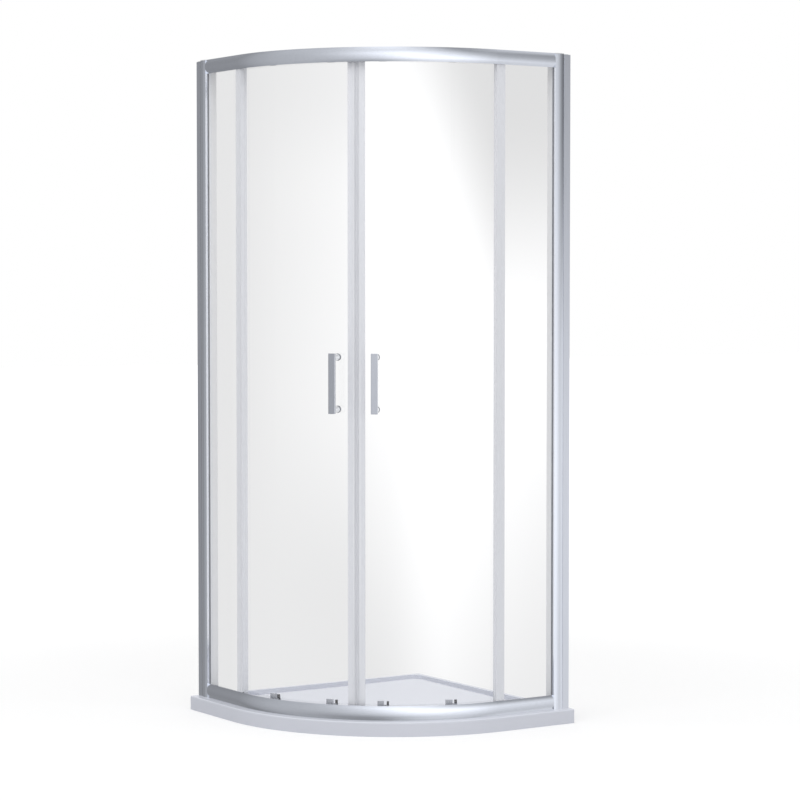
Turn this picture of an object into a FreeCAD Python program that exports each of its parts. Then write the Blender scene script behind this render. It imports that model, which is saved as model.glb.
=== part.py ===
import FreeCAD, Part
import math
import os

# Quadrant shower enclosure on its low tray, in millimetres.
# +Z is up. The tray's underside is z = 0 and its 800 x 800 outline is centred on the origin.
# The two walls it stands against are x = -tray_side / 2 and y = +tray_side / 2.
# The frame follows one line in plan: a straight side from the left wall, a quarter arc,
# and a straight side to the right wall. A place across the frame is given as its radius
# from the arc's centre, and the straight sides carry the same radii on as distances.
# A place along the arc is given as an angle, 0 where the left side meets it.

V = FreeCAD.Vector
UP = V(0, 0, 1)

# Overall sizes
tray_side = 800.0
tray_radius = 550.0
tray_height = 40.0
frame_height = 1850.0  # tray rim to the top of the frame
frame_inset = 25.0  # frame's outer face behind the tray's front face

# Tray
tray_edge_round = 4.0
rim_wall_width = 15.0
rim_front_width = 75.0
basin_corner_round = 30.0
basin_depth = 20.0  # at the waste
floor_fall = 0.0125  # rise per mm away from the waste
waste_place_radius = 300.0  # on the diagonal, from the arc's centre
waste_hole_radius = 45.0
waste_recess_radius = 57.5
waste_recess_depth = 3.0

# Glass
glass_thickness = 5.0
fixed_glass_setback = 10.5  # outer face behind the frame's outer face
door_glass_setback = 5.0  # outer face behind the fixed glass's inner face
fixed_glass_short = 5.0  # free edge before the arc's start
door_overlap_angle = 3.1  # door glass past the arc's start
door_edge_gap = 12.0  # glass edge to the line where the doors meet

# Wall channel
channel_depth = 22.0
channel_wall = 1.5
channel_setback = 2.0  # outer face behind the frame's outer face
channel_inner_step = 2.0
channel_drop = 3.0  # top below the frame's top
wall_hole_radius = 2.5
wall_hole_pitch = 800.0

# Jamb, the upright that slides into the wall channel
jamb_reach = 52.0  # wall to the face that the rails meet
jamb_gap = 1.0  # shadow gap between channel and jamb
jamb_wall = 1.5
jamb_bulge = 2.0
neck_play = 0.4
neck_start = 6.0  # wall to the neck's edge
slot_depth = 13.0
slot_wall = 1.0
cap_thickness = 2.0
cap_plug_depth = 8.0
cap_plug_play = 0.5

# Screws and their covers
jamb_screw_radius = 1.75
jamb_screw_length = 9.0
jamb_screw_head_radius = 3.5
jamb_screw_head_height = 2.0
jamb_screw_pitch = 650.0
jamb_screw_from_wall = 14.0
screw_play = 0.1
cover_radius = 5.0
cover_height = 3.4
cover_wall = 1.0
rail_screw_radius = 1.6
rail_screw_length = 22.0
rail_screw_head_radius = 2.3
rail_screw_head_height = 2.5

# Rails
rail_height = 40.0
rail_setback = 1.0  # outer face behind the jamb's outer face
rail_depth = 40.7
rail_bulge = 6.0
rail_skin = 1.8
rail_inner_wall = 1.6
inner_height = 22.0  # height of the rail's cabin side
ledge_width = 9.7
ledge_thickness = 2.0
slot_rib_thickness = 1.5
slot_rib_height = 16.0
port_ring = 1.3  # wall of a screw port
port_sink = 0.3  # how far a port's ring runs into the wall that carries it
web_port_setback = 20.8  # port on the closed side, behind the rail's outer face
skin_port_height = 24.0  # port on the outer skin

# Fixed glass's gasket, setting blocks and edge strip
gasket_thickness = 1.0
gasket_show = 1.5
block_height = 3.0
block_length = 30.0
block_from_edge = 25.0
glass_top_play = 2.0
strip_cover = 25.0  # glass edge covered
strip_wall = 2.8
strip_end_wall = 3.0
strip_groove_width = 2.0
strip_groove_depth = 0.8
strip_groove_pitch = 6.0
end_play = 0.3
cut_past = 1.0  # how far a cutting shape runs past the faces it goes through

# Door seals
door_edge_clear = 3.0  # door glass edge to a rail's ledge
seal_leg = 2.0
seal_grip = 12.0  # glass covered by a magnetic seal
seal_play = 0.1
meeting_gap = 0.25  # each seal to the line where the doors meet
magnet_width = 5.0
magnet_thickness = 4.0
magnet_from_face = 1.2
trailing_leg = 1.0
trailing_grip = 18.0
hook_gap = 1.3
hook_width = 2.6
hook_height = 4.0
trailing_fin_depth = 8.0  # lip that turns drips back into the tray
trailing_fin_thickness = 1.6

# Rollers
wheel_radius = 8.5
wheel_width = 4.0
wheel_bore_radius = 2.55
wheel_from_ledge = 0.3
wheel_side_play = 0.2
axle_radius = 2.5
axle_head_radius = 4.0
axle_head_height = 0.8
front_roller_angle = 8.4  # from the line where the doors meet
rear_roller_angle = 30.5
hanger_thickness = 2.8
hanger_width = 20.0
hanger_play = 0.1
hanger_hole_from_edge = 9.0  # below the door glass's top edge
fixing_radius = 3.0
fixing_head_radius = 5.0
fixing_head_height = 1.1
fixing_hole_play = 1.0
fixing_play = 0.05
carriage_width = 32.0
carriage_depth = 9.9
carriage_rise = 11.5  # above the bottom rail's outer face
carriage_block_width = 18.0
carriage_rib_count = 3
carriage_rib_width = 2.2
carriage_rib_depth = 1.2
carriage_fixing_drop = 6.5  # below the same face
arm_width = 12.0
arm_below_axle = 5.0

# Release buttons and their springs
button_width = 6.0
button_depth = 6.4
button_play = 0.3
button_stand = 10.5  # above the carriage's base
button_in_base = 3.5
button_travel = 3.0
spring_length = 9.0
spring_radius = 1.9
spring_wire_radius = 0.3
spring_turns = 5
spring_hole_radius = 2.5

# Stops for the doors
door_opening_angle = 20.0
buffer_length = 12.0
buffer_height = 15.0
buffer_gap = 0.4
buffer_side_play = 0.2

# Handles
handle_length = 166.0
handle_width = 19.0
handle_thickness = 10.0
handle_round = 1.0
handle_reach = 38.0  # glass to the back of the bar
handle_pitch = 144.0
handle_height = 930.0  # above the tray rim
handle_from_meeting = 55.0
post_radius = 9.0
post_bolt_depth = 24.0
washer_radius = 10.0
washer_thickness = 1.5
handle_bolt_radius = 3.0
handle_bolt_head_radius = 8.0
handle_bolt_head_height = 5.0
handle_hole_play = 1.5

# Worked out from the sizes above
half_side = tray_side / 2
plan_x = half_side - tray_radius
plan_y = -plan_x
plan_centre = V(plan_x, plan_y, 0)
corner_angle = 90.0
meeting_angle = corner_angle / 2
rim_z = tray_height
top_z = tray_height + frame_height
middle_z = (rim_z + top_z) / 2
frame_radius = tray_radius - frame_inset
rail_radius = frame_radius - rail_setback
rail_inner_radius = rail_radius - rail_depth
ledge_end_radius = rail_inner_radius + ledge_width
fixed_outer = frame_radius - fixed_glass_setback
fixed_inner = fixed_outer - glass_thickness
door_outer = fixed_inner - door_glass_setback
door_inner = door_outer - glass_thickness
door_bottom_z = rim_z + inner_height + door_edge_clear
door_top_z = top_z - inner_height - door_edge_clear
wheel_outer_radius = ledge_end_radius
wheel_inner_radius = wheel_outer_radius - wheel_width
wheel_drop = inner_height - ledge_thickness - wheel_from_ledge - wheel_radius
top_axle_z = top_z - wheel_drop
bottom_axle_z = rim_z + wheel_drop
hanger_outer = door_inner - hanger_play
hanger_inner = hanger_outer - hanger_thickness
slot_inner = fixed_inner - gasket_thickness
slot_outer = fixed_outer + gasket_thickness
handle_z = rim_z + handle_height
roller_angles = {
    "left_front": meeting_angle - front_roller_angle,
    "left_rear": meeting_angle - rear_roller_angle,
    "right_front": meeting_angle + front_roller_angle,
    "right_rear": meeting_angle + rear_roller_angle,
}


def on_side(radius, z, along=0.0):
    """A point at the left side's end of the arc, along it towards the arc."""
    return V(plan_x + along, plan_y - radius, z)


def on_arc(radius, angle, z):
    turn = math.radians(angle)
    return V(plan_x + radius * math.sin(turn), plan_y - radius * math.cos(turn), z)


def face_of(points):
    return Part.Face(Part.makePolygon(points + points[:1]))


def joined(shapes):
    return shapes[0].fuse(shapes[1:]).removeSplitter()


def turned(shape, angle):
    copy = shape.copy()
    copy.rotate(plan_centre, UP, angle)
    return copy


def mirrored(shape):
    """The same piece on the other side of the enclosure's diagonal."""
    return shape.mirror(plan_centre, V(1, 1, 0))


def arc_degrees(length, radius):
    return math.degrees(length / radius)


def ring_piece(inner, outer, start, end, low, high):
    """An upright piece of a ring about the arc's centre."""
    middle = (start + end) / 2
    far = Part.Arc(on_arc(outer, start, low), on_arc(outer, middle, low), on_arc(outer, end, low))
    near = Part.Arc(on_arc(inner, start, low), on_arc(inner, middle, low), on_arc(inner, end, low))
    closing = Part.LineSegment(on_arc(outer, end, low), on_arc(inner, end, low))
    opening = Part.LineSegment(on_arc(inner, start, low), on_arc(outer, start, low))
    edges = [far.toShape(), closing.toShape(), near.toShape(), opening.toShape()]
    return Part.Face(Part.Wire(Part.__sortEdges__(edges))).extrude(UP * (high - low))


def side_box(start, end, inner, outer, low, high):
    """A box on the left side: start and end are x, inner and outer are radii."""
    return Part.makeBox(end - start, outer - inner, high - low, V(start, plan_y - outer, low))


def radial_rod(radius, inner, outer, z, along=0.0):
    """A round rod that points outwards, at angle 0."""
    return Part.makeCylinder(radius, outer - inner, on_side(inner, z, along), V(0, -1, 0))


def flat_seat_inside(radius, half_width):
    """How far out a flat face of this half width can lie inside a round wall."""
    return math.sqrt(radius**2 - half_width**2)


# Tray


def quadrant_outline(wall_inset, front_inset, z):
    wall = half_side - wall_inset
    front = half_side - front_inset
    radius = tray_radius - front_inset
    corners = [
        on_arc(radius, corner_angle, z),
        V(front, wall, z),
        V(-wall, wall, z),
        V(-wall, -front, z),
        on_arc(radius, 0, z),
    ]
    edges = [Part.makeLine(a, b) for a, b in zip(corners, corners[1:])]
    bend = Part.Arc(corners[-1], on_arc(radius, meeting_angle, z), corners[0])
    return Part.Face(Part.Wire(edges + [bend.toShape()]))


def is_upright(edge):
    box = edge.BoundBox
    return box.ZLength > box.XLength + box.YLength


def tray():
    slab = quadrant_outline(0, 0, 0).extrude(UP * tray_height)
    front_edges = []
    for edge in slab.Edges:
        box = edge.BoundBox
        at_top = box.ZMin > tray_height / 2
        on_wall = box.XMax < tray_edge_round - half_side or box.YMin > half_side - tray_edge_round
        if at_top and not on_wall:
            front_edges.append(edge)
    slab = slab.makeFillet(tray_edge_round, front_edges)
    floor_z = tray_height - basin_depth
    basin = quadrant_outline(rim_wall_width, rim_front_width, floor_z)
    basin = basin.extrude(UP * (basin_depth + tray_edge_round))
    corners = []
    for edge in basin.Edges:
        box = edge.BoundBox
        beside_arc = box.XMax > plan_x - tray_edge_round and box.YMin < plan_y + tray_edge_round
        if is_upright(edge) and not beside_arc:
            corners.append(edge)
    basin = basin.makeFillet(basin_corner_round, corners)
    waste = on_arc(waste_place_radius, meeting_angle, floor_z)
    span = tray_side * math.sqrt(2)
    slope = face_of([waste, waste + V(span, 0, 0), waste + V(span, 0, span * floor_fall)])
    floor = slope.revolve(waste, UP, 360)
    basin = basin.cut(floor)
    recess = Part.makeCylinder(
        waste_recess_radius, basin_depth, waste - UP * waste_recess_depth
    )
    hole = Part.makeCylinder(waste_hole_radius, tray_height, V(waste.x, waste.y, 0))
    return slab.cut(basin.fuse([recess, hole]))


# Wall channels and jambs

wall_x = -half_side
channel_outer = frame_radius - channel_setback
channel_inner = rail_inner_radius + channel_inner_step
jamb_x = wall_x + jamb_reach
shoulder_x = wall_x + channel_depth + jamb_gap


def wall_channel():
    high = top_z - channel_drop
    outer = side_box(wall_x, wall_x + channel_depth, channel_inner, channel_outer, rim_z, high)
    hollow = side_box(
        wall_x + channel_wall,
        wall_x + channel_depth,
        channel_inner + channel_wall,
        channel_outer - channel_wall,
        rim_z,
        high,
    )
    profile = outer.cut(hollow)
    centre = (channel_inner + channel_outer) / 2
    for step in (-1, 0, 1):
        place = on_side(centre, middle_z + step * wall_hole_pitch)
        place.x = wall_x
        profile = profile.cut(Part.makeCylinder(wall_hole_radius, channel_wall, place, V(1, 0, 0)))
    for z in jamb_screw_heights:
        profile = profile.cut(jamb_screw_rod(jamb_screw_radius + screw_play, z))
    return profile


jamb_screw_heights = [middle_z + step * jamb_screw_pitch for step in (-1, 0, 1)]


def jamb_screw_rod(radius, z):
    rod = radial_rod(radius, channel_inner, channel_inner + jamb_screw_length, z)
    rod.translate(V(wall_x + jamb_screw_from_wall - plan_x, 0, 0))
    return rod


def jamb_skin(outer, thickness, low, high):
    """The jamb's rounded front, between its shoulder and the face that the rails meet."""
    middle = (shoulder_x + jamb_x) / 2

    def edge(radius):
        ends = [V(x, plan_y - radius + jamb_bulge, low) for x in (shoulder_x, jamb_x)]
        return ends[0], V(middle, plan_y - radius, low), ends[1]

    out, inn = edge(outer), edge(outer - thickness)
    edges = [
        Part.Arc(*out).toShape(),
        Part.makeLine(out[2], inn[2]),
        Part.Arc(*inn).toShape(),
        Part.makeLine(inn[0], out[0]),
    ]
    return Part.Face(Part.Wire(Part.__sortEdges__(edges))).extrude(UP * (high - low))


def jamb():
    high = top_z - cap_thickness
    neck_outer = channel_outer - channel_wall - neck_play
    neck_inner = channel_inner + channel_wall + neck_play
    shoulder_end = shoulder_x + jamb_wall
    slot_x = jamb_x - slot_depth
    skin_end = frame_radius - jamb_bulge
    walls = [
        (shoulder_x, jamb_x, rail_inner_radius, rail_inner_radius + jamb_wall),
        (shoulder_x, shoulder_end, rail_inner_radius, neck_inner + jamb_wall),
        (shoulder_x, shoulder_end, neck_outer - jamb_wall, skin_end),
        (wall_x + neck_start, shoulder_end, neck_inner, neck_inner + jamb_wall),
        (wall_x + neck_start, shoulder_end, neck_outer - jamb_wall, neck_outer),
        (jamb_x - jamb_wall, jamb_x, rail_inner_radius, slot_inner),
        (jamb_x - jamb_wall, jamb_x, slot_outer, skin_end),
        (slot_x - slot_wall, jamb_x, slot_inner - slot_wall, slot_inner),
        (slot_x - slot_wall, jamb_x, slot_outer, slot_outer + slot_wall),
        (slot_x - slot_wall, slot_x, slot_inner - slot_wall, slot_outer + slot_wall),
    ]
    profile = [side_box(*wall, rim_z, high) for wall in walls]
    profile.append(jamb_skin(frame_radius, jamb_wall, rim_z, high))
    post = joined(profile)
    holes = [jamb_screw_rod(jamb_screw_radius + screw_play, z) for z in jamb_screw_heights]
    holes += [rail_screw_rod(rail_screw_radius + screw_play, *port) for port in rail_ports]
    return post.cut(Part.makeCompound(holes))


def jamb_cap():
    low = top_z - cap_thickness
    plate = joined(
        [
            side_box(shoulder_x, jamb_x, rail_inner_radius, frame_radius - jamb_bulge, low, top_z),
            jamb_skin(frame_radius, jamb_bulge, low, top_z),
        ]
    )
    inset = jamb_wall + cap_plug_play
    neck_inner = channel_inner + channel_wall + neck_play + jamb_wall
    plug = side_box(
        shoulder_x + inset,
        jamb_x - slot_depth - slot_wall - cap_plug_play,
        neck_inner + cap_plug_play,
        slot_inner - slot_wall - cap_plug_play,
        low - cap_plug_depth,
        low,
    )
    return plate.fuse(plug).removeSplitter()


def jamb_screws():
    screws = []
    for z in jamb_screw_heights:
        along = wall_x + jamb_screw_from_wall - plan_x
        head_end = channel_inner - jamb_screw_head_height
        head = radial_rod(jamb_screw_head_radius, head_end, channel_inner, z, along)
        screws.append(joined([jamb_screw_rod(jamb_screw_radius, z), head]))
    return screws


def jamb_screw_covers():
    covers = []
    for z in jamb_screw_heights:
        along = wall_x + jamb_screw_from_wall - plan_x
        cup = radial_rod(cover_radius, channel_inner - cover_height, channel_inner, z, along)
        room = radial_rod(
            cover_radius - cover_wall, channel_inner - cover_height + cover_wall, channel_inner, z, along
        )
        covers.append(cup.cut(room))
    return covers


# Rails: the top rail is the bottom rail turned over


def turned_over(shape):
    """The same piece at the other end of the frame's height."""
    return shape.mirror(V(0, 0, middle_z), UP)


def section_box(inner, outer, start, end):
    """A box of the bottom rail's section: start and end are heights above the tray rim."""
    low, high = rim_z + start, rim_z + end
    return face_of([on_side(inner, low), on_side(outer, low), on_side(outer, high), on_side(inner, high)])


def rail_skin_face():
    bows = [(rail_bulge, 0), (0, rail_height / 2), (rail_bulge, rail_height)]
    out = [on_side(rail_radius - bow, rim_z + height) for bow, height in bows]
    inn = [point + V(0, rail_skin, 0) for point in out]
    edges = [
        Part.Arc(*out).toShape(),
        Part.makeLine(out[2], inn[2]),
        Part.Arc(*inn).toShape(),
        Part.makeLine(inn[0], out[0]),
    ]
    return Part.Face(Part.Wire(Part.__sortEdges__(edges)))


def skin_inner_radius(height):
    """The outer skin's inner face, at a height above the rail's closed side."""
    half = rail_height / 2
    curve = (half**2 + rail_bulge**2) / (2 * rail_bulge)
    return rail_radius - rail_skin - curve + math.sqrt(curve**2 - (height - half) ** 2)


port_reach = rail_screw_radius + screw_play + port_ring - port_sink
bottom_ports = [
    (rail_radius - web_port_setback, rim_z + rail_skin + port_reach),
    (skin_inner_radius(skin_port_height) - port_reach, rim_z + skin_port_height),
]
rail_ports = bottom_ports + [(radius, 2 * middle_z - z) for radius, z in bottom_ports]


def disc(radius, place_radius, z):
    circle = Part.makeCircle(radius, on_side(place_radius, z), V(1, 0, 0))
    return Part.Face(Part.Wire([circle]))


def along_frame(faces):
    """Sections drawn at angle 0, carried along the frame between the jambs as one solid."""
    length = plan_x - jamb_x
    runs = []
    for face in faces:
        runs.append(face.extrude(V(-length, 0, 0)))
        runs.append(face.revolve(plan_centre, UP, corner_angle))
        runs.append(turned(face, corner_angle).extrude(V(0, length, 0)))
    return joined(runs)


def bottom_rail():
    rib = slot_rib_thickness
    hole_radius = rail_screw_radius + screw_play
    wall_end = rail_inner_radius + rail_inner_wall
    parts = [
        section_box(rail_inner_radius, rail_radius - rail_bulge, 0, rail_skin),
        section_box(rail_inner_radius, wall_end, 0, inner_height),
        section_box(
            rail_inner_radius, ledge_end_radius, inner_height - ledge_thickness, inner_height
        ),
        section_box(slot_inner - rib, slot_inner, 0, slot_rib_height),
        section_box(slot_outer, slot_outer + rib, 0, slot_rib_height),
        rail_skin_face(),
    ]
    parts += [disc(hole_radius + port_ring, *port) for port in bottom_ports]
    holes = [disc(hole_radius, *port) for port in bottom_ports]
    return along_frame(parts).cut(along_frame(holes))


def rail_screw_rod(radius, place_radius, z):
    start = jamb_x - jamb_wall
    return Part.makeCylinder(
        radius, rail_screw_length, V(start, plan_y - place_radius, z), V(1, 0, 0)
    )


def rail_screws():
    screws = []
    for place_radius, z in rail_ports:
        start = V(jamb_x - jamb_wall, plan_y - place_radius, z)
        head = Part.makeCylinder(
            rail_screw_head_radius, rail_screw_head_height, start, V(-1, 0, 0)
        )
        screws.append(joined([rail_screw_rod(rail_screw_radius, place_radius, z), head]))
    return screws


# Fixed glass and what holds it

fixed_start_x = jamb_x - slot_depth + gasket_thickness
fixed_end_x = plan_x - fixed_glass_short
fixed_low_z = rim_z + rail_skin + block_height
fixed_high_z = top_z - rail_skin - glass_top_play


def fixed_glass():
    return side_box(
        fixed_start_x, fixed_end_x, fixed_inner, fixed_outer, fixed_low_z, fixed_high_z
    )


def glass_gasket():
    start = fixed_start_x - gasket_thickness
    sleeve = side_box(
        start, jamb_x + gasket_show, slot_inner, slot_outer, fixed_low_z, fixed_high_z
    )
    return sleeve.cut(fixed_glass())


def setting_blocks():
    starts = [
        jamb_x + block_from_edge,
        fixed_end_x - block_from_edge - block_length,
    ]
    low = rim_z + rail_skin
    return [
        side_box(start, start + block_length, fixed_inner, fixed_outer, low, fixed_low_z)
        for start in starts
    ]


def side_strip():
    low, high = rim_z + rail_height + end_play, top_z - rail_height - end_play
    start = fixed_end_x - strip_cover
    inner, outer = fixed_inner - strip_wall, fixed_outer + strip_wall
    strip = side_box(start, fixed_end_x + strip_end_wall, inner, outer, low, high)
    strip = strip.cut(fixed_glass())
    middle = (start + fixed_end_x) / 2
    for step in (-1, 0, 1):
        groove_start = middle + step * strip_groove_pitch - strip_groove_width / 2
        groove = side_box(
            groove_start,
            groove_start + strip_groove_width,
            outer - strip_groove_depth,
            outer,
            low,
            high,
        )
        strip = strip.cut(groove)
    return strip


# Left door's glass and seals, at rest: closed

door_lead_angle = meeting_angle - arc_degrees(door_edge_gap, door_outer)
door_trail_angle = -door_overlap_angle


def door_hole(radius, z):
    return radial_rod(radius, door_inner - cut_past, door_outer + cut_past, z)


def door_glass():
    sheet = ring_piece(
        door_inner, door_outer, door_trail_angle, door_lead_angle, door_bottom_z, door_top_z
    )
    holes = []
    for name in ("left_front", "left_rear"):
        for z in (hanger_fixing_z, carriage_fixing_z):
            hole = door_hole(fixing_radius + fixing_hole_play, z)
            holes.append(turned(hole, roller_angles[name]))
    for z in handle_post_heights:
        hole = door_hole(handle_bolt_radius + handle_hole_play, z)
        holes.append(turned(hole, handle_angle))
    return sheet.cut(Part.makeCompound(holes))


def magnetic_seal():
    grip = arc_degrees(seal_grip, door_outer)
    nose = meeting_angle - arc_degrees(meeting_gap, door_outer)
    inner = door_inner - seal_leg
    outer = door_outer + seal_leg
    start = door_lead_angle - grip
    seal = ring_piece(inner, outer, start, nose, door_bottom_z, door_top_z)
    room = ring_piece(
        door_inner - seal_play,
        door_outer + seal_play,
        start,
        door_lead_angle,
        door_bottom_z,
        door_top_z,
    )
    return seal.cut(room).cut(seal_magnet())


def seal_magnet():
    end = meeting_angle - arc_degrees(meeting_gap + magnet_from_face, door_outer)
    start = end - arc_degrees(magnet_width, door_outer)
    middle = (door_inner + door_outer) / 2
    half = magnet_thickness / 2
    return ring_piece(middle - half, middle + half, start, end, door_bottom_z, door_top_z)


def trailing_seal():
    grip = arc_degrees(trailing_grip, door_outer)
    hook_x = fixed_end_x - strip_cover - hook_gap
    hook_angle = -math.degrees(math.asin((plan_x - hook_x) / door_outer))
    end = hook_angle - arc_degrees(hook_width, door_outer)
    inner = door_inner - seal_play - trailing_leg
    outer = door_outer + seal_play + trailing_leg
    low, high = door_bottom_z, door_top_z
    seal = ring_piece(inner, outer, end, door_trail_angle + grip, low, high)
    hook = ring_piece(door_outer, outer + hook_height - trailing_leg, end, hook_angle, low, high)
    room = ring_piece(
        door_inner - seal_play,
        door_outer + seal_play,
        door_trail_angle,
        door_trail_angle + grip,
        low,
        high,
    )
    fin_end = door_trail_angle + grip
    fin_start = fin_end - arc_degrees(trailing_fin_thickness, door_inner)
    fin = ring_piece(inner - trailing_fin_depth, inner, fin_start, fin_end, low, high)
    return seal.fuse([hook, fin]).removeSplitter().cut(room)


# Handle, built at angle 0 and turned to its door

handle_post_heights = [handle_z - handle_pitch / 2, handle_z + handle_pitch / 2]
handle_angle = meeting_angle - arc_degrees(handle_from_meeting, door_outer)
bar_back = door_outer + handle_reach
post_seat = door_outer + washer_thickness
inner_seat = flat_seat_inside(door_inner, washer_radius)


def handle_bar():
    bar = Part.makeBox(
        handle_width,
        handle_thickness,
        handle_length,
        on_side(bar_back + handle_thickness, handle_z - handle_length / 2, -handle_width / 2),
    )
    return bar.makeFillet(handle_round, bar.Edges)


def handle_posts():
    posts = []
    for z in handle_post_heights:
        post = radial_rod(post_radius, post_seat, bar_back, z)
        hole = radial_rod(
            handle_bolt_radius + fixing_play, post_seat, post_seat + post_bolt_depth, z
        )
        posts.append(post.cut(hole))
    return posts


def handle_washers():
    washers = []
    for z in handle_post_heights:
        for start in (door_outer, inner_seat - washer_thickness):
            washer = radial_rod(washer_radius, start, start + washer_thickness, z)
            hole = radial_rod(
                handle_bolt_radius + handle_hole_play, start, start + washer_thickness, z
            )
            washers.append(washer.cut(hole))
    return washers


def handle_bolts():
    bolts = []
    for z in handle_post_heights:
        head_outer = inner_seat - washer_thickness
        head = radial_rod(
            handle_bolt_head_radius, head_outer - handle_bolt_head_height, head_outer, z
        )
        rim = [edge for edge in head.Edges if edge.BoundBox.YMin > plan_y - head_outer + cut_past]
        head = head.makeFillet(handle_bolt_head_height / 2, rim)
        shank_end = post_seat + post_bolt_depth - screw_play
        shank = radial_rod(handle_bolt_radius, head_outer - screw_play, shank_end, z)
        bolts.append(joined([head, shank]))
    return bolts


# Rollers, built at angle 0 and turned to their places

hanger_fixing_z = door_top_z - hanger_hole_from_edge
rail_edge_z = rim_z + rail_height
carriage_fixing_z = rail_edge_z - carriage_fixing_drop
wheel_hub_end = wheel_outer_radius + wheel_side_play


def top_hanger():
    half = arc_degrees(hanger_width / 2, door_inner)
    low = hanger_fixing_z - fixing_head_radius
    high = top_axle_z + axle_head_radius
    plate = ring_piece(hanger_inner, hanger_outer, -half, half, low, high)
    pin_hole = radial_rod(axle_radius + fixing_play, hanger_inner - cut_past, door_inner, top_axle_z)
    bolt_hole = radial_rod(
        fixing_radius + fixing_play, hanger_inner - cut_past, door_inner, hanger_fixing_z
    )
    return plate.cut(pin_hole.fuse(bolt_hole))


def axle(z):
    head_start = wheel_inner_radius - wheel_side_play - axle_head_height
    head = radial_rod(axle_head_radius, head_start, head_start + axle_head_height, z)
    pin = radial_rod(axle_radius, head_start, hanger_outer - hanger_play, z)
    return joined([head, pin])


def wheel(z):
    tyre = radial_rod(wheel_radius, wheel_inner_radius, wheel_outer_radius, z)
    bore = radial_rod(wheel_bore_radius, wheel_inner_radius, wheel_outer_radius, z)
    return tyre.cut(bore)


def fixing_bolt(z, inner):
    head = radial_rod(fixing_head_radius, door_outer, door_outer + fixing_head_height, z)
    shank = radial_rod(fixing_radius, inner, door_outer, z)
    return joined([head, shank])


carriage_low_z = door_bottom_z
carriage_high_z = rail_edge_z + carriage_rise
button_along = (carriage_width - button_width) / 2 - button_play
button_low_z = rail_edge_z - button_in_base
spring_low_z = button_low_z - spring_length
carriage_inner = hanger_outer - carriage_depth
button_middle = (carriage_inner + hanger_outer) / 2
carriage_bolt_end = button_middle


def sector_along(start, end, inner, outer, low, high):
    """A ring piece at angle 0, between two distances along the arc."""
    return ring_piece(
        inner, outer, arc_degrees(start, outer), arc_degrees(end, outer), low, high
    )


def bottom_carriage():
    half = carriage_width / 2
    base = sector_along(-half, half, carriage_inner, hanger_outer, carriage_low_z, rail_edge_z)
    block = sector_along(
        -half,
        carriage_block_width - half,
        carriage_inner,
        hanger_outer,
        rail_edge_z,
        carriage_high_z,
    )
    arm_low = bottom_axle_z - arm_below_axle
    arm = sector_along(
        -arm_width / 2, arm_width / 2, hanger_inner, hanger_outer, arm_low, carriage_low_z
    )
    body = joined([base, block, arm])
    grooves = []
    pitch = carriage_block_width / (carriage_rib_count + 1)
    for step in range(carriage_rib_count):
        start = -half + (step + 1) * pitch - carriage_rib_width / 2
        for face, other in (
            (carriage_inner - cut_past, carriage_inner + carriage_rib_depth),
            (hanger_outer - carriage_rib_depth, hanger_outer + cut_past),
        ):
            grooves.append(
                sector_along(
                    start, start + carriage_rib_width, face, other, rail_edge_z, carriage_high_z
                )
            )
    body = body.cut(Part.makeCompound(grooves))
    pocket_half = button_width / 2 + button_play
    pocket_depth_half = button_depth / 2 + button_play
    pocket = Part.makeBox(
        2 * pocket_half,
        2 * pocket_depth_half,
        button_in_base + button_travel + button_play,
        on_side(
            button_middle + pocket_depth_half,
            button_low_z - button_travel - button_play,
            button_along - pocket_half,
        ),
    )
    spring_hole = Part.makeCylinder(
        spring_hole_radius, spring_length, on_side(button_middle, spring_low_z, button_along)
    )
    pin_hole = radial_rod(
        axle_radius + fixing_play, hanger_inner - cut_past, door_inner, bottom_axle_z
    )
    bolt_hole = radial_rod(
        fixing_radius + fixing_play, carriage_bolt_end, door_inner, carriage_fixing_z
    )
    return body.cut(pocket.fuse([spring_hole, pin_hole, bolt_hole]))


def release_button():
    button = Part.makeBox(
        button_width,
        button_depth,
        button_in_base + button_stand,
        on_side(button_middle + button_depth / 2, button_low_z, button_along - button_width / 2),
    )
    top_edges = [e for e in button.Edges if e.BoundBox.ZMin > rail_edge_z]
    return button.makeFillet(handle_round, top_edges)


def button_spring():
    height = spring_length - 2 * (spring_wire_radius + screw_play)
    helix = Part.makeHelix(height / spring_turns, height, spring_radius)
    start = V(spring_radius, 0, 0)
    circle = Part.Wire([Part.makeCircle(spring_wire_radius, start, V(0, 1, 0))])
    coil = Part.Wire(helix.Edges).makePipeShell([circle], True, True)
    lift = spring_low_z + spring_wire_radius + screw_play
    coil.translate(on_side(button_middle, lift, button_along))
    return coil


def rail_buffer():
    """The block that the rear wheel of the left door meets when it is fully open."""
    past = math.radians(door_opening_angle - (meeting_angle - rear_roller_angle))
    middle = (wheel_inner_radius + wheel_outer_radius) / 2
    end = plan_x - middle * math.sin(past) - wheel_radius - buffer_gap
    ledge_z = top_z - inner_height + ledge_thickness
    inner = rail_inner_radius + rail_inner_wall + buffer_side_play
    return side_box(
        end - buffer_length, end, inner, ledge_end_radius, ledge_z, ledge_z + buffer_height
    )


def both_sides(pieces):
    return pieces + [mirrored(piece) for piece in pieces]


def write(name, pieces):
    shape = pieces[0] if len(pieces) == 1 else Part.makeCompound(pieces)
    solids = shape.Solids
    valid = all(solid.isValid() for solid in solids)
    print(f"{name}: {len(solids)} solids, valid {valid}, {shape.Volume / 1000:.1f} cm3")
    shape.exportStep(f"parts/{name}.step")


os.makedirs("parts", exist_ok=True)

write("shower_tray", [tray()])
rail = bottom_rail()
write("bottom_rail", [rail])
write("top_rail", [turned_over(rail)])

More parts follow.
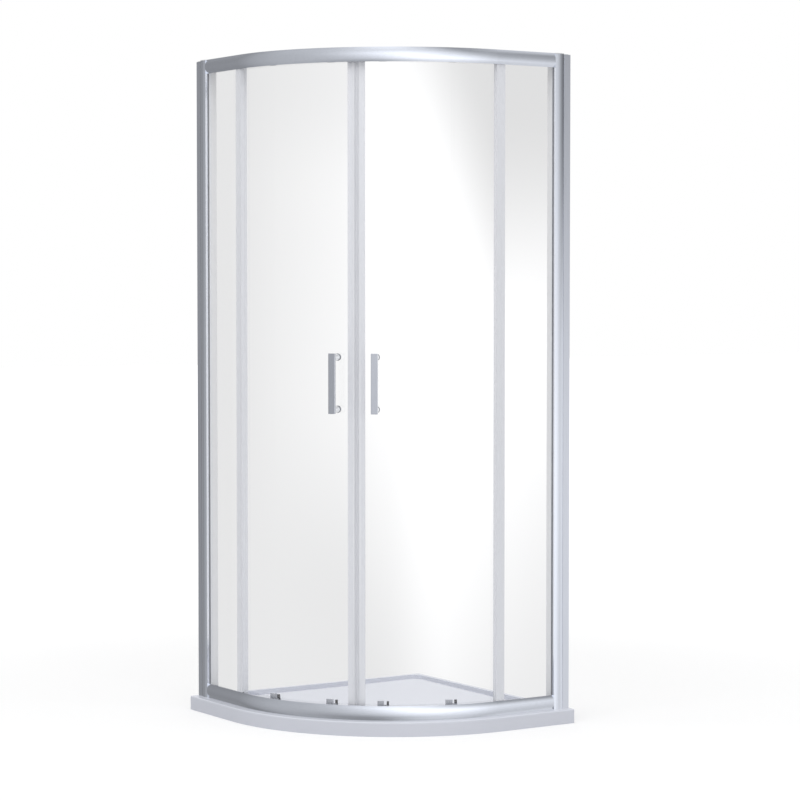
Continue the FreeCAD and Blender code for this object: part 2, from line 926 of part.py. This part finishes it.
left_and_right = {
    "wall_channel": [wall_channel()],
    "jamb": [jamb()],
    "jamb_cap": [jamb_cap()],
    "fixed_glass": [fixed_glass()],
    "glass_gasket": [glass_gasket()],
    "side_strip": [side_strip()],
    "door_glass": [door_glass()],
    "magnetic_seal": [magnetic_seal()],
    "seal_magnet": [seal_magnet()],
    "trailing_seal": [trailing_seal()],
    "handle_bar": [turned(handle_bar(), handle_angle)],
    "handle_posts": [turned(post, handle_angle) for post in handle_posts()],
    "handle_washers": [turned(washer, handle_angle) for washer in handle_washers()],
    "handle_bolts": [turned(bolt, handle_angle) for bolt in handle_bolts()],
}
for name, pieces in left_and_right.items():
    write(f"{name}_left", pieces)
    write(f"{name}_right", [mirrored(piece) for piece in pieces])

write("jamb_screws", both_sides(jamb_screws()))
write("jamb_screw_covers", both_sides(jamb_screw_covers()))
write("rail_screws", both_sides(rail_screws()))
write("setting_blocks", both_sides(setting_blocks()))
write("rail_buffers", both_sides([rail_buffer()]))

for side in ("left", "right"):
    angles = [roller_angles[f"{side}_{end}"] for end in ("front", "rear")]
    axles = [axle(top_axle_z), axle(bottom_axle_z)]
    bolts = [
        fixing_bolt(hanger_fixing_z, hanger_inner),
        fixing_bolt(carriage_fixing_z, carriage_bolt_end),
    ]
    write(f"top_hangers_{side}", [turned(top_hanger(), angle) for angle in angles])
    write(f"bottom_carriages_{side}", [turned(bottom_carriage(), angle) for angle in angles])
    write(f"axles_{side}", [turned(pin, angle) for angle in angles for pin in axles])
    write(f"roller_bolts_{side}", [turned(bolt, angle) for angle in angles for bolt in bolts])

for place, angle in roller_angles.items():
    write(f"top_wheel_{place}", [turned(wheel(top_axle_z), angle)])
    write(f"bottom_wheel_{place}", [turned(wheel(bottom_axle_z), angle)])
    write(f"release_button_{place}", [turned(release_button(), angle)])
    write(f"button_spring_{place}", [turned(button_spring(), angle)])
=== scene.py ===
import math
import bpy
from mathutils import Matrix, Vector


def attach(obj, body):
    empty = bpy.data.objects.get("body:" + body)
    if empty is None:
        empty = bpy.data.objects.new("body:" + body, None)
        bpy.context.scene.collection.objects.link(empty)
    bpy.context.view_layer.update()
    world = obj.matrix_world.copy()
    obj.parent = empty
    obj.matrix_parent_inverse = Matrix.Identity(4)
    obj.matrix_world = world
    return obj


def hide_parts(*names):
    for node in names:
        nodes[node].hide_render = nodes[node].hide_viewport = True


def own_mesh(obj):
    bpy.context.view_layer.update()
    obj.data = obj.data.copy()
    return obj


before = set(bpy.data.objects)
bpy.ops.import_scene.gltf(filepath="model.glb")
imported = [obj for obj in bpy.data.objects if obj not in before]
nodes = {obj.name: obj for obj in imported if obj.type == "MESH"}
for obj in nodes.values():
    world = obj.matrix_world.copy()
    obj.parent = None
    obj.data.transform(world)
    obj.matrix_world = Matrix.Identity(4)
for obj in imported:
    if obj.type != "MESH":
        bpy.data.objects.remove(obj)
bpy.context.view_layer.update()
print("frame loaded:", len(nodes), "nodes")


# Shared steps for the materials

metalGrain = {"scale": 12, "darker": 0.94, "gloss": (0.7, 1.3), "depth": 0.00002}
plasticGrain = {"scale": 900, "darker": 0.93, "gloss": (0.8, 1.2), "depth": 0.00003}
uprightLines = (60, 60, 1)  # the grain's stretch along x, y and z
rampEnds = (0.3, 0.7)


def startMaterial(name):
    material = bpy.data.materials.new(name)
    material.use_nodes = True
    tree = material.node_tree
    return material, tree, tree.nodes["Principled BSDF"]


def addNode(tree, kind, **values):
    node = tree.nodes.new(kind)
    for key, value in values.items():
        setattr(node, key, value)
    return node


def noiseOn(tree, scale, stretch=(1, 1, 1), detail=3.0):
    # in metres of the part's own frame, stretched along its axes
    place = addNode(tree, "ShaderNodeTexCoord")
    mapping = addNode(tree, "ShaderNodeMapping")
    mapping.inputs["Scale"].default_value = stretch
    noise = addNode(tree, "ShaderNodeTexNoise")
    noise.inputs["Scale"].default_value = scale
    noise.inputs["Detail"].default_value = detail
    tree.links.new(place.outputs["Object"], mapping.inputs["Vector"])
    tree.links.new(mapping.outputs["Vector"], noise.inputs["Vector"])
    return noise.outputs["Fac"]


def spread(tree, source, low, high):
    # maps a 0 to 1 value to a range
    ranged = addNode(tree, "ShaderNodeMapRange")
    ranged.inputs["To Min"].default_value = low
    ranged.inputs["To Max"].default_value = high
    tree.links.new(source, ranged.inputs["Value"])
    return ranged.outputs["Result"]


def colourBetween(tree, source, first, second):
    ramp = addNode(tree, "ShaderNodeValToRGB")
    for stop, position, colour in zip(ramp.color_ramp.elements, rampEnds, (first, second)):
        stop.position = position
        stop.color = (*colour, 1)
    tree.links.new(source, ramp.inputs["Fac"])
    return ramp.outputs["Color"]


def bumpFrom(tree, source, height, shader):
    bump = addNode(tree, "ShaderNodeBump")
    bump.inputs["Strength"].default_value = 1.0
    bump.inputs["Distance"].default_value = height
    tree.links.new(source, bump.inputs["Height"])
    tree.links.new(bump.outputs["Normal"], shader.inputs["Normal"])


def grained(name, colour, roughness, grain, stretch=(1, 1, 1)):
    # one noise varies colour, gloss and surface a little
    material, tree, shader = startMaterial(name)
    noise = noiseOn(tree, grain["scale"], stretch)
    darker = tuple(part * grain["darker"] for part in colour)
    smoothest, roughest = (roughness * share for share in grain["gloss"])
    tree.links.new(colourBetween(tree, noise, darker, colour), shader.inputs["Base Color"])
    tree.links.new(spread(tree, noise, smoothest, roughest), shader.inputs["Roughness"])
    bumpFrom(tree, noise, grain["depth"], shader)
    return material, shader


def extrudedMetal(name, colour, roughness, lines=uprightLines):
    # polished, with faint draw lines along it
    material, shader = grained(name, colour, roughness, metalGrain, lines)
    shader.inputs["Metallic"].default_value = 1.0
    return material


def mouldedPlastic(name, colour, roughness, alpha=1.0):
    material, shader = grained(name, colour, roughness, plasticGrain)
    shader.inputs["Alpha"].default_value = alpha
    return material


def dress(material, *names):
    for name in names:
        data = nodes[name].data
        data.materials.clear()
        data.materials.append(material)


def bothSides(*names):
    return [f"{name}_{side}" for name in names for side in ("left", "right")]


def link(name, data):
    piece = bpy.data.objects.new(name, data)
    bpy.context.scene.collection.objects.link(piece)
    return piece


# Tray

trayLook = {
    "colour": (0.745, 0.765, 0.84),
    "shade": (0.73, 0.75, 0.825),
    "cloudScale": 6,
    "roughness": 0.16,
    "roughnessRise": 1.4,
    "rippleScale": 260,
    "rippleHeight": 0.00002,
    "coat": 0.1,
    "coatRoughness": 0.05,
}


def trayMaterial(look):
    material, tree, shader = startMaterial("trayAcrylic")
    cloud = noiseOn(tree, look["cloudScale"])
    ripple = noiseOn(tree, look["rippleScale"])
    roughest = look["roughness"] * look["roughnessRise"]
    tree.links.new(colourBetween(tree, cloud, look["shade"], look["colour"]), shader.inputs["Base Color"])
    tree.links.new(spread(tree, ripple, look["roughness"], roughest), shader.inputs["Roughness"])
    bumpFrom(tree, ripple, look["rippleHeight"], shader)
    shader.inputs["Coat Weight"].default_value = look["coat"]
    shader.inputs["Coat Roughness"].default_value = look["coatRoughness"]
    return material


dress(trayMaterial(trayLook), "shower_tray")
nodes["shower_tray"].visible_glossy = False  # the bottom rail mirrors the curtain, not the tray
print("tray dressed")


# Frame: rails, jambs, channels and caps

frameLook = {"colour": (0.775, 0.80, 0.855), "roughness": 0.14}
railLines = (8, 8, 60)  # level ones, along the rails
channelLook = {"colour": (0.73, 0.75, 0.80), "roughness": 0.32}
capLook = {"colour": (0.66, 0.67, 0.70), "roughness": 0.3}

dress(extrudedMetal("railAluminium", lines=railLines, **frameLook), "top_rail", "bottom_rail")
dress(extrudedMetal("jambAluminium", **frameLook), *bothSides("jamb"))
dress(extrudedMetal("channelAluminium", **channelLook), *bothSides("wall_channel"))
dress(mouldedPlastic("capPlastic", **capLook), *bothSides("jamb_cap"), "jamb_screw_covers")

# Painted light: the jambs' end faces behind the panes get a pale satin colour of their own, so that they
# read lighter there
endFacesPaintedLightLook = {"colour": (0.93, 0.935, 0.95), "roughness": 0.35}
endFacesPaintedLightPick = {
    "squareness": 0.9,  # how squarely they face along the pane
    "outermost": 0.3595,  # metres from the part's middle
}
endFacesPaintedLightSides = {  # the directions along the pane and inwards
    "left": (Vector((1, 0, 0)), Vector((0, 1, 0))),
    "right": (Vector((0, -1, 0)), Vector((-1, 0, 0))),
}

# the pale colour that paints light onto the jambs' end faces
endFacesPaintedLight = mouldedPlastic("endFacesPaintedLightSatin", **endFacesPaintedLightLook)
for side, (alongPane, inwards) in endFacesPaintedLightSides.items():
    jamb = nodes[f"jamb_{side}"]
    jamb.data.materials.append(endFacesPaintedLight)
    for face in jamb.data.polygons:
        square = face.normal.dot(alongPane) > endFacesPaintedLightPick["squareness"]
        place = jamb.matrix_world @ face.center
        if square and -place.dot(inwards) < endFacesPaintedLightPick["outermost"]:
            face.material_index = 1
print("frame dressed")


# Glass

glassLook = {
    "colour": (0.965, 0.966, 0.97),
    "roughness": 0.0,
    "ior": 1.5,
    "waveScale": 9,
    "waveStretch": (1, 1, 0.4),
    "waveDetail": 1.0,
    "waveHeight": 0.00001,
}


def glassMaterial(look):
    material, tree, shader = startMaterial("clearGlass")
    shader.inputs["Base Color"].default_value = (*look["colour"], 1)
    shader.inputs["Roughness"].default_value = look["roughness"]
    shader.inputs["IOR"].default_value = look["ior"]
    shader.inputs["Transmission Weight"].default_value = 1.0
    wave = noiseOn(tree, look["waveScale"], look["waveStretch"], look["waveDetail"])
    bumpFrom(tree, wave, look["waveHeight"], shader)
    return material


def letLightThrough(*names):
    # what stands behind these pieces is lit as if they weren't there
    for name in names:
        nodes[name].visible_shadow = False
        nodes[name].visible_diffuse = False


panes = bothSides("fixed_glass", "door_glass")
dress(glassMaterial(glassLook), *panes)
letLightThrough(*panes)
print("glass dressed")


# Seals, strips and gaskets

stripLook = {"colour": (0.89, 0.905, 0.955), "roughness": 0.25, "alpha": 0.66}
sealLook = {"colour": (0.89, 0.905, 0.96), "roughness": 0.18, "alpha": 0.62}
gasketLook = {"colour": (0.36, 0.37, 0.40), "roughness": 0.5}
washerLook = {"colour": (0.42, 0.43, 0.46), "roughness": 0.4}
magnetLook = {"colour": (0.70, 0.71, 0.75), "roughness": 0.5}
strips = bothSides("side_strip")
seals = bothSides("magnetic_seal", "trailing_seal")

dress(mouldedPlastic("stripPlastic", **stripLook), *strips)
dress(mouldedPlastic("sealPlastic", **sealLook), *seals)
dress(mouldedPlastic("gasketRubber", **gasketLook), *bothSides("glass_gasket"))
dress(mouldedPlastic("washerRubber", **washerLook), *bothSides("handle_washers"), "rail_buffers")
dress(mouldedPlastic("magnetStrip", **magnetLook), *bothSides("seal_magnet"))
letLightThrough(*strips, *seals)
print("seals dressed")


# Handles

handleLook = {"colour": (0.53, 0.545, 0.585), "roughness": 0.12, "lines": (40, 40, 4)}
postLook = {"colour": (0.80, 0.82, 0.86), "roughness": 0.16, "lines": (40, 40, 4)}

dress(extrudedMetal("handleChrome", **handleLook), *bothSides("handle_bar", "handle_bolts"))
dress(extrudedMetal("postChrome", **postLook), *bothSides("handle_posts"))
print("handles dressed")


# Rollers and fixings

hangerLook = {"colour": (0.72, 0.73, 0.76), "roughness": 0.18}
steelLook = {"colour": (0.62, 0.62, 0.64), "roughness": 0.28}
carriageLook = {"colour": (0.62, 0.64, 0.70), "roughness": 0.4}
wheelLook = {"colour": (0.82, 0.82, 0.80), "roughness": 0.35}
buttonLook = {"colour": (0.07, 0.07, 0.08), "roughness": 0.35}
blockLook = {"colour": (0.32, 0.33, 0.35), "roughness": 0.5}
places = [f"{side}_{end}" for side in ("left", "right") for end in ("front", "rear")]
springs = [f"button_spring_{place}" for place in places]
wheels = [f"{level}_wheel_{place}" for level in ("top", "bottom") for place in places]
buttons = [f"release_button_{place}" for place in places]

dress(extrudedMetal("hangerChrome", **hangerLook), *bothSides("top_hangers", "roller_bolts"))
dress(extrudedMetal("fixingSteel", **steelLook), *bothSides("axles"), "jamb_screws", "rail_screws", *springs)
dress(mouldedPlastic("carriagePlastic", **carriageLook), *bothSides("bottom_carriages"))
dress(mouldedPlastic("wheelPlastic", **wheelLook), *wheels)
dress(mouldedPlastic("buttonPlastic", **buttonLook), *buttons)
dress(mouldedPlastic("blockPlastic", **blockLook), "setting_blocks")

for place in places:
    node = f"button_spring_{place}"
    coil = link(f"springCoil_{place}", nodes[node].data.copy())
    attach(coil, f"door_{place.split('_')[0]}")
    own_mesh(coil)
    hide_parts(node)
print("rollers dressed")


# Camera at the photograph's viewing angle

cameraView = {
    "azimuth": 57.424,
    "distance": 7.24847,
    "height": 1.22982,
    "turn": -0.46953,
    "pitch": 2.51327,
    "lens": 113.931,
    "sensor": 36,
    "clipEnd": 100,
}


def outwards(azimuth, elevation=0):
    # from the part's middle, in degrees, with azimuth 0 towards -y and 90 towards x
    turn, rise = math.radians(azimuth), math.radians(elevation)
    return Vector((math.sin(turn) * math.cos(rise), -math.cos(turn) * math.cos(rise), math.sin(rise)))


def rightOf(azimuth):
    turn = math.radians(azimuth)
    return Vector((math.cos(turn), math.sin(turn), 0))


def addCamera(view):
    facing = view["azimuth"] + view["turn"]
    data = bpy.data.cameras.new("camera")
    data.lens = view["lens"]
    data.sensor_width = view["sensor"]
    data.clip_end = view["clipEnd"]
    camera = link("camera", data)
    camera.location = outwards(view["azimuth"]) * view["distance"] + Vector((0, 0, view["height"]))
    back, right = outwards(facing, view["pitch"]), rightOf(facing)
    up = back.cross(right)
    camera.rotation_euler = Matrix((right, up, back)).transposed().to_euler()
    bpy.context.scene.camera = camera


addCamera(cameraView)
print("camera placed")


# Floor, light and world

def between(stops, value):
    # straight lines between the stops of a dictionary
    places = sorted(stops)
    if value <= places[0]:
        return stops[places[0]]
    for low, high in zip(places, places[1:]):
        if value <= high:
            share = (value - low) / (high - low)
            return stops[low] * (1 - share) + stops[high] * share
    return stops[places[-1]]


def easeIn(value, start, end):
    share = min(1.0, max(0.0, (value - start) / (end - start)))
    return share * share * (3 - 2 * share)


floorLook = {
    "reach": 30,
    "colour": (0.75, 0.75, 0.75),
    "roughness": 0.9,
    "near": 0.8,  # metres from the part's middle
    "far": 5.0,
    "nearGlow": 0.26,  # the camera sees it white far off, and with the part's shadow close by
    "farGlow": 0.68,
}
worldLook = {"colour": (1, 1, 1), "strength": 0.65, "seenStrength": 1.0}
lampLook = {
    "azimuth": 48,
    "elevation": 70,
    "distance": 4.5,
    "aimHeight": 0.9,
    "size": (3.0, 3.0),
    "power": 105,
}


def addFloor(look):
    reach = look["reach"]
    mesh = bpy.data.meshes.new("floor")
    corners = [(-reach, -reach, 0), (reach, -reach, 0), (reach, reach, 0), (-reach, reach, 0)]
    mesh.from_pydata(corners, [], [(0, 1, 2, 3)])
    material, tree, shader = startMaterial("floorWhite")
    shader.inputs["Base Color"].default_value = (*look["colour"], 1)
    shader.inputs["Roughness"].default_value = look["roughness"]
    shader.inputs["Emission Color"].default_value = (1, 1, 1, 1)
    place = addNode(tree, "ShaderNodeTexCoord")
    away = addNode(tree, "ShaderNodeVectorMath", operation="LENGTH")
    tree.links.new(place.outputs["Object"], away.inputs[0])
    glow = addNode(tree, "ShaderNodeMapRange", interpolation_type="SMOOTHSTEP")
    sockets = {"From Min": "near", "From Max": "far", "To Min": "nearGlow", "To Max": "farGlow"}
    for socket, value in sockets.items():
        glow.inputs[socket].default_value = look[value]
    tree.links.new(away.outputs["Value"], glow.inputs["Value"])
    seenGlow = addNode(tree, "ShaderNodeMath", operation="MULTIPLY")
    tree.links.new(addNode(tree, "ShaderNodeLightPath").outputs["Is Camera Ray"], seenGlow.inputs[0])
    tree.links.new(glow.outputs["Result"], seenGlow.inputs[1])
    tree.links.new(seenGlow.outputs[0], shader.inputs["Emission Strength"])
    mesh.materials.append(material)
    floor = link("floor", mesh)
    floor.visible_glossy = False  # metal and gloss see the curtain's lower part instead
    floor.visible_transmission = False  # and glass sees the backdrop's


def addWorld(look):
    # plain light for surfaces, plain white where the camera, metal or glass looks at it
    world = bpy.data.worlds.new("studio")
    bpy.context.scene.world = world
    world.use_nodes = True
    tree = world.node_tree
    background = tree.nodes["Background"]
    background.inputs["Color"].default_value = (*look["colour"], 1)
    path = addNode(tree, "ShaderNodeLightPath")
    seen = addNode(tree, "ShaderNodeMath", operation="MAXIMUM")
    either = addNode(tree, "ShaderNodeMath", operation="MAXIMUM")
    tree.links.new(path.outputs["Is Camera Ray"], seen.inputs[0])
    tree.links.new(path.outputs["Is Glossy Ray"], seen.inputs[1])
    tree.links.new(seen.outputs[0], either.inputs[0])
    tree.links.new(path.outputs["Is Transmission Ray"], either.inputs[1])
    strength = spread(tree, either.outputs[0], look["strength"], look["seenStrength"])
    tree.links.new(strength, background.inputs["Strength"])


def addSoftbox(name, look):
    data = bpy.data.lights.new(name, "AREA")
    data.shape = "RECTANGLE"
    data.size, data.size_y = look["size"]
    data.energy = look["power"]
    lamp = link(name, data)
    back = outwards(look["azimuth"], look["elevation"])
    lamp.location = Vector((0, 0, look["aimHeight"])) + back * look["distance"]
    lamp.rotation_euler = back.to_track_quat("Z", "Y").to_euler()
    lamp.visible_glossy = False


def addCard(name, points, faces, tones, seenBy, tint=(1, 1, 1)):
    # a surface that glows by its own tones and that only one kind of ray sees
    mesh = bpy.data.meshes.new(name)
    mesh.from_pydata(points, [], faces)
    shades = mesh.color_attributes.new("tone", "FLOAT_COLOR", "POINT")
    for place, tone in zip(shades.data, tones):
        place.color = (*(tone * part for part in tint), 1)
    material, tree, shader = startMaterial(name)
    tree.nodes.remove(shader)
    glow = addNode(tree, "ShaderNodeEmission")
    shade = addNode(tree, "ShaderNodeVertexColor", layer_name="tone")
    tree.links.new(shade.outputs["Color"], glow.inputs["Color"])
    tree.links.new(glow.outputs[0], tree.nodes["Material Output"].inputs["Surface"])
    mesh.materials.append(material)
    card = link(name, mesh)
    card.visible_camera = False
    card.visible_diffuse = False
    card.visible_shadow = False
    card.visible_glossy = seenBy == "glossy"
    card.visible_transmission = seenBy == "transmission"


def gridFaces(columns, rows):
    faces = []
    for column in range(columns):
        for row in range(rows):
            first = column * (rows + 1) + row
            faces.append((first, first + rows + 1, first + rows + 2, first + 1))
    return faces


def rowHeights(look):
    low, high, rows = look["low"], look["high"], look["rows"]
    return [low + (high - low) * row / rows for row in range(rows + 1)]


# Round curtain that metal and gloss reflect: a broad light right of the camera, grey to its left

curtain = {
    "radius": 3.6,
    "low": -9.0,
    "high": 10.0,
    "columns": 120,
    "rows": 76,
    "greyByAzimuth": {
        -180: 0.9, -150: 0.88, -108: 0.88, -82: 0.36, -60: 0.31, -45: 0.43, -25: 0.53,
        0: 0.57, 30: 0.62, 60: 0.57, 90: 0.4, 122: 0.42, 133: 0.45, 150: 0.8, 180: 0.9,
    },
    # by height: the light's azimuth, its power, and what is added to the grey
    "lightMiddle": {-8: 91, -4.5: 91, -2.5: 91, -1: 87, 0.5: 86, 2.5: 67, 4.5: 66, 8.5: 48},
    "lightPower": {-8: 0.33, -4.5: 0.51, -2.5: 0.52, -1: 0.73, 0.5: 1.05, 2.5: 0.83, 4.5: 0.37, 8.5: 0.55},
    "lift": {-8: -0.08, -3: -0.04, -0.5: 0.0, 2.5: 0.0, 5: 0.08, 8.5: 0.0},
    "lightReach": (26, 33),  # degrees to its left and right
    "shades": (  # azimuth, reach in degrees, depth by height
        (40, 30, {-3: 0.27, 0.2: 0.0}),
        (109, 10, {1.5: 0.0, 4: 0.2}),
        (160, 16, {1.0: 0.0, 1.8: 0.85, 3.2: 0.85, 4.5: 0.1}),
    ),
    "darkest": 0.02,
    "tint": (0.985, 1.0, 1.035),
    "coverTone": 0.6,
}


def bell(value, reach):
    return math.exp(-(value / reach) ** 2 / 2)


def curtainTone(look, azimuth, height):
    aside = azimuth - between(look["lightMiddle"], height)
    reach = look["lightReach"][aside > 0]
    tone = between(look["greyByAzimuth"], azimuth) + between(look["lift"], height)
    tone += between(look["lightPower"], height) * bell(aside, reach)
    for middle, width, depth in look["shades"]:
        tone -= between(depth, height) * bell(azimuth - middle, width)
    return max(look["darkest"], tone)


def addCurtain(look):
    columns, rows = look["columns"], look["rows"]
    points, tones = [], []
    for column in range(columns + 1):
        azimuth = -180 + 360 * column / columns
        foot = outwards(azimuth) * look["radius"]
        for height in rowHeights(look):
            points.append((foot.x, foot.y, height))
            tones.append(curtainTone(look, azimuth, height))
    rim = [column * (rows + 1) + rows for column in range(columns)]
    points.append((0, 0, look["high"]))
    tones.append(look["coverTone"])
    cover = [(first, first + rows + 1, len(points) - 1) for first in rim]
    addCard("curtain", points, gridFaces(columns, rows) + cover, tones, "glossy", look["tint"])


# Backdrop that shows through the glass: a leaning white beam between soft greys, a glowing card of painted
# light and painted shade that only the panes show

backdrop = {
    "behind": 2.5,  # from the part's middle, away from the camera
    "width": 3.4,
    "low": -1.2,
    "high": 3.6,
    "columns": 136,
    "rows": 160,
    "paneGrey": 0.865,  # behind the left fixed pane
    "paneEdge": -0.63,
    "doorGrey": {-0.63: 0.88, -0.55: 0.89, -0.2: 1.0},  # behind the left door
    "doorTop": 0.03,  # darker upwards at its left edge
    "doorTopRise": 0.07,  # and by this more at its right edge
    "doorTopFade": (0.75, 1.25),
    "doorFoot": 0.18,
    "doorFootFade": (-0.1, 0.8),
    "beamEdge": -0.135,  # where the doors meet
    "beamMiddle": 0.173,
    "white": 1.18,
    "beamTop": {"height": 0.537, "least": 0.06, "lean": 2.62, "fade": 1.08, "grey": 0.41},
    "beamFoot": {"height": 0.096, "lean": 1.5, "fade": 1.95, "grey": 0.315},
    "sideGrey": 0.067,
    "sideFade": (-0.139, 0.061),
}


def doorTone(look, across, up):
    share = (across - look["paneEdge"]) / (look["beamEdge"] - look["paneEdge"])
    top = (look["doorTop"] + look["doorTopRise"] * share) * easeIn(up, *look["doorTopFade"])
    foot = look["doorFoot"] * share * easeIn(-up, *look["doorFootFade"])
    return between(look["doorGrey"], across) - top - foot


def beamTone(look, across, up):
    top, foot = look["beamTop"], look["beamFoot"]
    aside = across - look["beamMiddle"]
    whiteTo = max(top["least"], top["height"] - top["lean"] * aside)
    whiteFrom = foot["height"] + foot["lean"] * abs(aside)
    tone = look["white"] - top["grey"] * easeIn(up, whiteTo, whiteTo + top["fade"])
    tone -= foot["grey"] * easeIn(-up, -whiteFrom, foot["fade"] - whiteFrom)
    return tone - look["sideGrey"] * easeIn(-across, *look["sideFade"])


def backdropTone(look, across, up):
    # up is measured from the level of the camera's axis at the backdrop, downwards negative
    if across < look["paneEdge"]:
        return look["paneGrey"]
    if across < look["beamEdge"]:
        return doorTone(look, across, up)
    return beamTone(look, across, up)


def addBackdrop(look, view):
    facing = view["azimuth"] + view["turn"]
    camera = bpy.context.scene.camera.location
    reach = view["distance"] + look["behind"]
    middle = camera.z - math.tan(math.radians(view["pitch"])) * reach
    foot = camera - outwards(facing) * reach
    points, tones = [], []
    for column in range(look["columns"] + 1):
        across = look["width"] * (column / look["columns"] - 0.5)
        point = foot + rightOf(facing) * across
        for height in rowHeights(look):
            points.append((point.x, point.y, height))
            tones.append(backdropTone(look, across, height - middle))
    addCard("backdrop", points, gridFaces(look["columns"], look["rows"]), tones, "transmission")


addFloor(floorLook)
addWorld(worldLook)
addSoftbox("overheadLight", lampLook)
addCurtain(curtain)
addBackdrop(backdrop, cameraView)
bpy.context.scene.view_settings.view_transform = "Standard"
print("floor, light and world ready")
